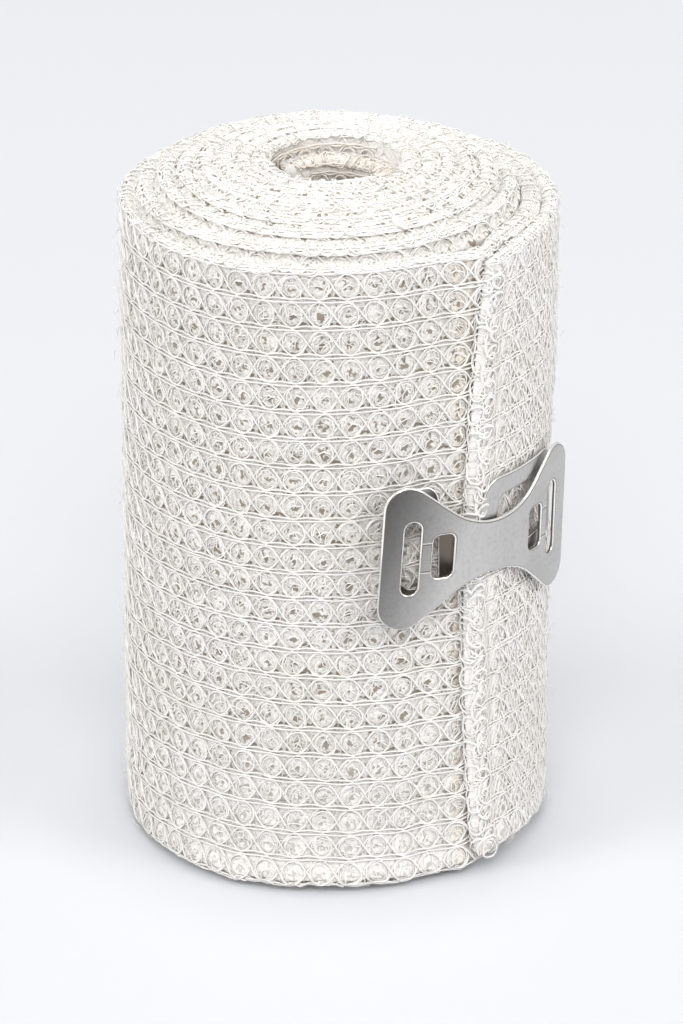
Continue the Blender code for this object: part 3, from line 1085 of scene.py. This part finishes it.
class BANDAGE_OT_rims(bpy.types.Operator):
    """Add the yarns that run over the long edges of the strip, at the top and at the base"""

    bl_idname = "bandage.rims"
    bl_label = "Rims"

    def execute(self, context):
        knit = context.scene.bandage_knit
        columns = int(length_at(TURNS - 0.01) / COLUMN_PITCH)
        pitch = COLUMN_PITCH / 2.0
        loops = int(length_at(TURNS - 0.01) / pitch)
        top = [(0.6 * pitch, PATH_LENGTH + 0.1 * MM, loops, 1, pitch)]
        loose = {"segments": 10, "tilt": 0.34, "ring_height": 1.1, "unevenness": 1.4 * knit.unevenness}
        parts = []
        for k, share in enumerate((0.74, 0.92)):
            parts += ring_strands(top, 0.03 * MM, share, seed=53 + k, **loose)
        over = [(FIRST_COLUMN, FIRST_ROW + (ROWS + 0.5) * ROW_PITCH, columns, 1, COLUMN_PITCH)]
        parts += crossing_strands(over, 0.16 * MM, segments=6)
        rolled("top_rim_loops", parts)
        lines = [(FIRST_COLUMN, PATH_LENGTH - 0.2 * MM, columns, 1, COLUMN_PITCH)]
        lines += moved(lines, 0.0, 1.45 * MM)
        after = int(length_at(1.0) / COLUMN_PITCH)
        start = FIRST_COLUMN + after * COLUMN_PITCH
        lines += [(start, FIRST_ROW + ROWS * ROW_PITCH - 0.25 * MM, columns - after, 1, COLUMN_PITCH)]
        waves = (-0.15 * MM, 0.3 * MM)
        thick = {"segments": 4, "yarn_radius": 1.2 * knit.yarn_radius}
        rolled("top_rim_wefts", weft_strands(lines, 0.04 * MM, waves, seed=59, **thick))
        base = [(FIRST_COLUMN, 0.0, OUTER_COLUMNS + 8, 1, COLUMN_PITCH)]
        parts = []
        for k, share in enumerate((1.0, 0.9)):
            rings = moved(base, 0.5 * k * COLUMN_PITCH, 0.0)
            parts += ring_strands(rings, 0.25 * MM, share, seed=61 + k, segments=10, ring_height=0.8)
        ragged = {"unevenness": 2.5 * knit.unevenness, "segments": 5}
        parts += weft_strands(moved(base, 0.0, 0.4 * MM), 0.25 * MM, waves, **ragged)
        parts += crossing_strands(moved(base, 0.0, -0.2 * ROW_PITCH), 0.2 * MM, seed=63, **ragged)
        rolled("base_rim_yarns", parts)
        return {"FINISHED"}


class BANDAGE_OT_core(bpy.types.Operator):
    """Add the yarns that show on the wall of the open core"""

    bl_idname = "bandage.core"
    bl_label = "Core Wall"

    def execute(self, context):
        knit = context.scene.bandage_knit
        start = length_at(TURNS - 1.25)
        columns = int((length_at(TURNS - 0.01) - start) / COLUMN_PITCH)
        wall = [(start, PATH_LENGTH + 2.6 * MM, columns, CORE_ROWS, COLUMN_PITCH)]
        rings = moved(wall, 0.0, 1.92 * MM)
        thick = {"yarn_radius": 1.4 * knit.yarn_radius}
        parts = ring_strands(rings, 0.1 * MM, 0.95, seed=67, **thick)
        parts += ring_strands(rings, 0.2 * MM, 0.76, seed=68)
        parts += crossing_strands(moved(wall, 0.0, ROW_PITCH / 2.0), 0.1 * MM, **thick)
        parts += weft_strands(wall, 0.05 * MM, (-0.1 * MM, 0.4 * MM), **thick)
        rolled("core_wall_yarns", parts)
        return {"FINISHED"}


class BANDAGE_OT_hem(bpy.types.Operator):
    """Add the chain of loops that closes the loose end"""

    bl_idname = "bandage.hem"
    bl_label = "Hem Chain"

    def execute(self, context):
        knit = context.scene.bandage_knit
        thick = {"yarn_radius": HEM_YARN, "tilt": 0.25}
        loose = {**thick, "unevenness": 2.0 * knit.unevenness}
        tall = {**loose, "ring_height": 1.5}
        chain = [(2.0 * MM, FIRST_ROW, 1, ROWS, COLUMN_PITCH)]
        half = 0.5 * ROW_PITCH
        parts = ring_strands(chain, 0.0, 0.85, seed=71, segments=16, ring_height=1.8, **thick)
        parts += ring_strands(moved(chain, 0.3 * MM, half), 0.05 * MM, 0.8, seed=72, **tall)
        parts += ring_strands(moved(chain, -0.5 * MM, 0.25 * ROW_PITCH), 0.05 * MM, 0.6, seed=73, **loose)
        parts += ring_strands(moved(chain, 0.7 * MM, 0.75 * ROW_PITCH), 0.1 * MM, 0.6, seed=74, **loose)
        parts += ring_strands(moved(chain, 0.0, half), -0.1 * MM, 0.34, seed=80, segments=8, **thick)
        tip = RIM * (1.0 - math.pi / 2.0)
        edge = [(tip + 0.7 * MM, FIRST_ROW, 1, ROWS, COLUMN_PITCH)]
        for k, share in enumerate((0.7, 0.9)):
            parts += ring_strands(moved(edge, 0.0, k * half), 0.1 * MM, share, seed=75 + k, ring_height=1.5)
        parts += ring_strands(moved(edge, 0.3 * MM, 0.25 * ROW_PITCH), 0.0, 0.8, seed=77, **tall)
        for along, wave in ((tip + 0.1 * MM, 0.5 * MM), (4.1 * MM, 0.2 * MM), (4.8 * MM, 0.2 * MM)):
            side = [(along, FIRST_ROW + 49.0 * MM, 1, 1, COLUMN_PITCH)]
            parts += strands("warps", side, 0.05 * MM, length=97.0 * MM, wave=wave)
        last = [(2.0 * MM, 1.7 * MM, 1, 1, COLUMN_PITCH)]
        thick = {**thick, "ring_height": 1.3}
        parts += ring_strands(last, -0.3 * MM, 1.15, seed=78, segments=18, **thick)
        parts += ring_strands(last, -0.35 * MM, 0.75, seed=79, segments=16, **thick)
        rolled("hem_chain", parts)
        return {"FINISHED"}


def strewn(out, values):
    """Short fibres over the outer turn, at a height out of the cloth."""
    size = (length_at(1.0), PATH_LENGTH + 2.0 * MM)
    middle = (size[0] / 2.0, size[1] / 2.0, out)
    seed = bpy.context.scene.bandage_knit.seed
    return grown("fibres", {"Size X": size[0], "Size Y": size[1], "Middle": middle, "Seed": seed, **values})


class BANDAGE_OT_fuzz(bpy.types.Operator):
    """Add the short yarns between the rings, and the fine fibres that stand off the cloth"""

    bl_idname = "bandage.fuzz"
    bl_label = "Short Yarns And Fuzz"

    def execute(self, context):
        knit = context.scene.bandage_knit
        short = {"Curl Radius": 2.6 * MM, "Sweep": 1.0, "Tilt": 0.12, "Segments": 4, "Unevenness": 0.0}
        short.update({"Density": knit.short_yarns, "Yarn Radius": 0.75 * knit.yarn_radius})
        rolled("knit_short_yarns", [strewn(-0.36 * MM, short)])
        fine = {"Curl Radius": 1.3 * MM, "Sweep": 1.9, "Tilt": 0.7, "Segments": 5, "Unevenness": 1.2 * MM}
        rolled("fuzz", [strewn(0.05 * MM, {**fine, "Density": knit.fuzz, "Yarn Radius": 0.045 * MM})])
        return {"FINISHED"}


# ---------------------------------------------------------------- clip


def front_radius(degrees):
    """Middle line of the front plate, as a distance from the roll's axis."""
    if degrees > FRONT_STRAIGHT_FROM:
        return FRONT_RADIUS / math.cos(math.radians(degrees - FRONT_STRAIGHT_FROM))
    pressed = max(0.0, FRONT_PRESSED_FROM - degrees) / (FRONT_PRESSED_FROM - FRONT_LEFT_TURN)
    return FRONT_RADIUS - FRONT_PRESSED * pressed**2


def back_radius(degrees):
    """Middle line of the back plate: on the turn below at the left, and over the loose end at the right."""
    on_loose_end = OUTER_RADIUS + float(wobble(degrees))
    step = float(smooth_step((degrees - BACK_STEP_FROM) / (BACK_STEP_TO - BACK_STEP_FROM)))
    return on_loose_end - TURN_PITCH * (1.0 - step) + CLIP_GAP + BACK_THICKNESS / 2.0


class BentPath:
    """The bent middle line of a plate, with the clip's middle at distance 0."""

    def __init__(self, radius):
        self.degrees = np.arange(-10.0, 100.0, 0.25)
        distance = np.array([radius(degrees) for degrees in self.degrees])
        angle = np.radians(self.degrees)
        self.x = ROLL_AXIS.x + distance * np.sin(angle)
        self.y = ROLL_AXIS.y - distance * np.cos(angle)
        along = np.cumsum(np.hypot(np.diff(self.x), np.diff(self.y)))
        self.along = np.concatenate([[0.0], along])
        self.along -= np.interp(CLIP_TURN, self.degrees, self.along)

    def bend(self, points):
        """Points are (along the clip, outwards, up)."""
        ahead_x = np.interp(points[:, 0], self.along, np.gradient(self.x, self.along))
        ahead_y = np.interp(points[:, 0], self.along, np.gradient(self.y, self.along))
        length = np.hypot(ahead_x, ahead_y)
        x = np.interp(points[:, 0], self.along, self.x) + points[:, 1] * ahead_y / length
        y = np.interp(points[:, 0], self.along, self.y) - points[:, 1] * ahead_x / length
        return np.stack([x, y, points[:, 2]], axis=1)


def arc(centre, radius, start, end, steps):
    """Points along an arc from start to end, in degrees."""
    turned = [math.radians(start + (end - start) * i / steps) for i in range(steps + 1)]
    return [(centre[0] + radius * math.cos(a), centre[1] + radius * math.sin(a)) for a in turned]


def rounded_outline(corners):
    """A closed outline through (x, y, radius) corners, each replaced by an arc."""
    outline = []
    for i, (x, y, radius) in enumerate(corners):
        here = Vector((x, y))
        back = (Vector(corners[i - 1][:2]) - here).normalized()
        ahead = (Vector(corners[(i + 1) % len(corners)][:2]) - here).normalized()
        half = back.angle(ahead) / 2.0
        inwards = (back + ahead).normalized()
        centre = here + inwards * (radius / math.sin(half))
        start = (here + back * (radius / math.tan(half)) - centre).normalized()
        end = (here + ahead * (radius / math.tan(half)) - centre).normalized()
        for k in range(CUT_STEPS + 1):
            outline.append(tuple(centre + start.slerp(end, k / CUT_STEPS) * radius))
    return outline


def rounded_slot(middle, half_width, up, half_height, corner):
    sides = ((-1.0, -1.0), (1.0, -1.0), (1.0, 1.0), (-1.0, 1.0))
    return rounded_outline([(middle + x * half_width, up + y * half_height, corner) for x, y in sides])


def bow_tie_quarter():
    """The clip's outline from the middle of its waist to a wing's end: a hollow arc, a slope and a corner."""
    slope = math.radians(WING_SLOPE)
    end_x = WAIST_CURVE * math.sin(slope)
    end_y = CLIP_HALF_WAIST + WAIST_CURVE * (1.0 - math.cos(slope))
    corner_x = CLIP_HALF_LENGTH - WING_CORNER
    corner_y = end_y + math.tan(slope) * (corner_x - end_x) - WING_CORNER / math.cos(slope)
    waist = arc((0.0, CLIP_HALF_WAIST + WAIST_CURVE), WAIST_CURVE, 270.0, 270.0 + WING_SLOPE, CUT_STEPS)
    return waist + arc((corner_x, corner_y), WING_CORNER, 90.0 + WING_SLOPE, 0.0, 2 * CUT_STEPS)


def bow_tie_outline():
    """The whole outline, the same in all four quarters."""
    quarter = bow_tie_quarter()
    right = quarter + [(x, -y) for x, y in reversed(quarter)]
    left = [(-x, -y) for x, y in quarter[1:]] + [(-x, y) for x, y in reversed(quarter[1:])]
    return right[:-1] + left


def cut_plate(outlines, thickness, rounding):
    """A flat sheet of metal, cut along its outlines, with edges rounded over from face to face."""
    curve = bpy.data.curves.new("outline", "CURVE")
    curve.dimensions = "2D"
    curve.fill_mode = "BOTH"
    curve.bevel_depth = rounding
    curve.bevel_resolution = 4
    curve.offset = -rounding
    for outline in outlines:
        spline = curve.splines.new("POLY")
        spline.points.add(len(outline) - 1)
        spline.use_cyclic_u = True
        for point, (x, y) in zip(spline.points, outline):
            point.co = (x, y, 0.0, 1.0)
    flat = add_object("outline", curve)
    bpy.context.view_layer.update()
    cut = bpy.data.meshes.new_from_object(flat.evaluated_get(bpy.context.evaluated_depsgraph_get()))
    bpy.data.objects.remove(flat, do_unlink=True)
    cut.transform(Matrix.Diagonal((1.0, 1.0, thickness / 2.0 / rounding, 1.0)))
    return cut


def turned_flat(points, degrees):
    """Points of a flat plate, turned back by its tilt."""
    turn = math.radians(degrees)
    x = points[:, 0] * math.cos(turn) - points[:, 1] * math.sin(turn)
    return x, points[:, 0] * math.sin(turn) + points[:, 1] * math.cos(turn)


def covered_share(along, up):
    """How far the front plate keeps the light from these places on the back plate: most at the left."""
    x, y = turned_flat(np.stack([along, up - CLIP_HEIGHT], axis=1), CLIP_TILT)
    half_height = np.interp(np.abs(x), *np.array(bow_tie_quarter()).T)
    inside = np.minimum(half_height - np.abs(y), CLIP_HALF_LENGTH - np.abs(x))
    opener = 0.6 * smooth_step((x - 6.0 * MM) / (4.0 * MM))
    return smooth_step((inside - 0.7 * MM) / (1.6 * MM)) * (1.0 - opener)


def sliced_plate(name, outlines, thickness, rounding, tilt):
    """A flat sheet of metal, turned by its tilt, and cut across wherever it can bend."""
    mesh = bmesh.new()
    mesh.from_mesh(cut_plate(outlines, thickness, rounding))
    bmesh.ops.remove_doubles(mesh, verts=mesh.verts, dist=0.001 * MM)
    turn = Matrix.Rotation(math.radians(-tilt), 3, "Z")
    bmesh.ops.rotate(mesh, verts=mesh.verts, cent=(0, 0, 0), matrix=turn)
    across = {"dist": 0.01 * MM, "plane_no": (1, 0, 0)}
    for k in range(-BENDS, BENDS + 1):
        geometry = mesh.verts[:] + mesh.edges[:] + mesh.faces[:]
        bmesh.ops.bisect_plane(mesh, geom=geometry, plane_co=(k * BEND_STEP, 0, 0), **across)
    bmesh.ops.triangulate(mesh, faces=mesh.faces)
    data = bpy.data.meshes.new(name)
    mesh.to_mesh(data)
    mesh.free()
    return data


def turned_outwards(data, edge, outwards):
    """Turns the faces outwards, and gives each point its normal.

    The broad faces keep the sheet's own normal, and the rounded edges turn from one face to the other.
    """
    mesh = bmesh.new()
    mesh.from_mesh(data)
    bmesh.ops.recalc_face_normals(mesh, faces=mesh.faces)
    normals = []
    for vert, level, outward in zip(mesh.verts, edge, outwards):
        rounded = [face for face in vert.link_faces if any(edge[other.index] > FLAT for other in face.verts)]
        if level < FLAT or not rounded:
            normals.append(Vector(outward).normalized())
        else:
            normals.append(sum((face.normal * face.calc_area() for face in rounded), Vector()).normalized())
    mesh.to_mesh(data)
    mesh.free()
    return normals


def plate(name, outline, holes, thickness, path, tilt, lift, material):
    """A cut sheet of metal, tilted, lifted to its height and bent round the roll."""
    rounding = min(bpy.context.scene.bandage_clip.rounding, 0.7 * thickness)
    outlines = [outline] + [rounded_slot(*hole) for hole in holes]
    data = sliced_plate(name, outlines, thickness, rounding, tilt)
    flat = points_of(data)
    # What the metal reads: how far over the edge a point is, how deep in a hole, and how well covered; its
    # material paints highlights and shade from these
    edge = np.clip(1.0 - np.abs(flat[:, 2]) / (thickness / 2.0), 0.0, 1.0)
    depth = np.clip(0.5 - flat[:, 2] / thickness, 0.0, 1.0)
    x, y = turned_flat(flat, tilt)
    room = rounding + 0.05 * MM
    hole = np.zeros(len(flat))
    for middle, half_width, up, half_height, _ in holes:
        inside = (np.abs(x - middle) < half_width + room) & (np.abs(y - up) < half_height + room)
        hole[inside] = depth[inside]
    covered = covered_share(flat[:, 0], flat[:, 1]) if name == "back_plate" else np.zeros(len(flat))
    for label, values in (("edge", edge), ("hole", hole), ("covered", covered)):
        data.attributes.new(label, "FLOAT", "POINT").data.foreach_set("value", values.astype(np.float32))
    plan = np.stack([x / MM, y / MM, covered], axis=1).astype(np.float32)
    data.attributes.new("plan", "FLOAT_VECTOR", "POINT").data.foreach_set("vector", plan.ravel())
    places = np.stack([flat[:, 0], flat[:, 2], flat[:, 1] + lift], axis=1)
    bent = path.bend(places)
    outwards = (path.bend(places + np.array([0.0, MM, 0.0])) - bent) * np.sign(flat[:, 2:]) / MM
    move_points(data, bent)
    normals = turned_outwards(data, edge, outwards)
    data.materials.clear()
    data.materials.append(material)
    made = finished(add_object(name, data))
    data.normals_split_custom_set_from_vertices(normals)
    return made


class BANDAGE_OT_clip(bpy.types.Operator):
    """Add the clip's front plate, shaped like a bow tie, and its back plate"""

    bl_idname = "bandage.clip"
    bl_label = "Butterfly Clip"

    def execute(self, context):
        colours = context.scene.bandage_colours
        holes = []
        for side in (-1.0, 1.0):
            for middle, half_width, half_height, corner in (SLOT, TONGUE_HOLE):
                holes.append((side * middle, half_width, 0.0, half_height, corner))
        outline = bow_tie_outline()
        # The front plate's metal is painted darker towards its left, as a dim reflection
        steel = steel_material("satin_steel", colours.left_wing_shade)
        path = BentPath(front_radius)
        front = plate("front_plate", outline, holes, FRONT_THICKNESS, path, CLIP_TILT, CLIP_HEIGHT, steel)
        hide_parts("clip_front_plate")
        outline = rounded_outline([(x * MM, y * MM, r * MM) for x, y, r in BACK_OUTLINE])
        windows = [[size * MM for size in window] for window in BACK_WINDOWS]
        steel = steel_material("back_plate_steel", colours.steel)
        path = BentPath(back_radius)
        back = plate("back_plate", outline, windows, BACK_THICKNESS, path, 0.0, 0.0, steel)
        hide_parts("clip_back_plate")
        return {"FINISHED"}


# ---------------------------------------------------------------- stage


def add_floor():
    half = FLOOR_HALF
    floor = bpy.data.meshes.new("floor")
    corners = [(-half, -half, 0.0), (half, -half, 0.0), (half, half, 0.0), (-half, half, 0.0)]
    floor.from_pydata(corners, [], [(0, 1, 2, 3)])
    floor.materials.append(Paint("floor").set(Base_Color=FLOOR_COLOUR, Roughness=0.6))
    add_object("floor", floor)


def add_sky(scene):
    """Even light from all round, which is weaker low down."""
    scene.world = bpy.data.worlds.new("studio")
    scene.world.use_nodes = True
    sky = Nodes()
    sky.tree = scene.world.node_tree
    background = sky.tree.nodes["Background"]
    background.inputs["Strength"].default_value = scene.bandage_stage.sky
    height = sky.split(sky.node("ShaderNodeTexCoord"))[2]
    shade = sky.node("ShaderNodeMapRange", {"Value": height, **SKY_SHADE})
    sky.tree.links.new(sky.vectors("SCALE", SKY_COLOUR, shade), background.inputs["Color"])


def add_lamps(scene):
    for name, place, size, power in LAMPS:
        light = bpy.data.lights.new(name, "AREA")
        light.shape = "DISK"
        light.size = size
        light.energy = power * scene.bandage_stage.lamps
        lamp = add_object(name, light)
        lamp.location = place
        lamp.rotation_euler = (LAMP_AIM - Vector(place)).to_track_quat("-Z", "Y").to_euler()


def add_camera(scene):
    eye = bpy.data.cameras.new("camera")
    eye.lens = LENS
    eye.clip_end = 10.0
    camera = add_object("camera", eye)
    height = EYE_AIM_HEIGHT + EYE_DISTANCE * math.tan(EYE_PITCH)
    camera.location = ROLL_AXIS + Vector((EYE_ASIDE, -EYE_DISTANCE, height))
    camera.rotation_euler = (math.pi / 2.0 - EYE_PITCH, 0.0, 0.0)
    scene.camera = camera


class BANDAGE_OT_stage(bpy.types.Operator):
    """Add the pale floor, the soft lights and the camera"""

    bl_idname = "bandage.stage"
    bl_label = "Stage"

    def execute(self, context):
        add_floor()
        add_sky(context.scene)
        add_lamps(context.scene)
        add_camera(context.scene)
        context.scene.view_settings.view_transform = "Standard"
        return {"FINISHED"}


class BANDAGE_PT_panel(bpy.types.Panel):
    """The pieces of the bandage roll, and their settings"""

    bl_label = "Crepe Bandage Roll"
    bl_idname = "BANDAGE_PT_panel"
    bl_space_type = "VIEW_3D"
    bl_region_type = "UI"
    bl_category = "Bandage"

    def draw(self, context):
        for name, group in SETTINGS.items():
            box = self.layout.box()
            box.label(text=group.bl_rna.name)
            for item in group.__annotations__:
                box.prop(getattr(context.scene, name), item)
        for step in STEPS:
            self.layout.operator(step.bl_idname)


SETTINGS = {
    "bandage_knit": BandageKnit,
    "bandage_colours": BandageColours,
    "bandage_clip": BandageClip,
    "bandage_stage": BandageStage,
}
STEPS = (
    BANDAGE_OT_cloth,
    BANDAGE_OT_knit,
    BANDAGE_OT_under_knit,
    BANDAGE_OT_rims,
    BANDAGE_OT_core,
    BANDAGE_OT_hem,
    BANDAGE_OT_fuzz,
    BANDAGE_OT_clip,
    BANDAGE_OT_stage,
)


def register():
    for item in (*SETTINGS.values(), *STEPS, BANDAGE_PT_panel):
        bpy.utils.register_class(item)
    for name, group in SETTINGS.items():
        setattr(bpy.types.Scene, name, PointerProperty(type=group))


def unregister():
    for name in SETTINGS:
        delattr(bpy.types.Scene, name)
    for item in (BANDAGE_PT_panel, *reversed(STEPS), *SETTINGS.values()):
        bpy.utils.unregister_class(item)


def main():
    register()
    bpy.ops.bandage.cloth()
    bpy.ops.bandage.knit()
    bpy.ops.bandage.under_knit()
    bpy.ops.bandage.rims()
    bpy.ops.bandage.core()
    bpy.ops.bandage.hem()
    bpy.ops.bandage.fuzz()
    bpy.ops.bandage.clip()
    bpy.ops.bandage.stage()


if __name__ == "__main__":
    main()
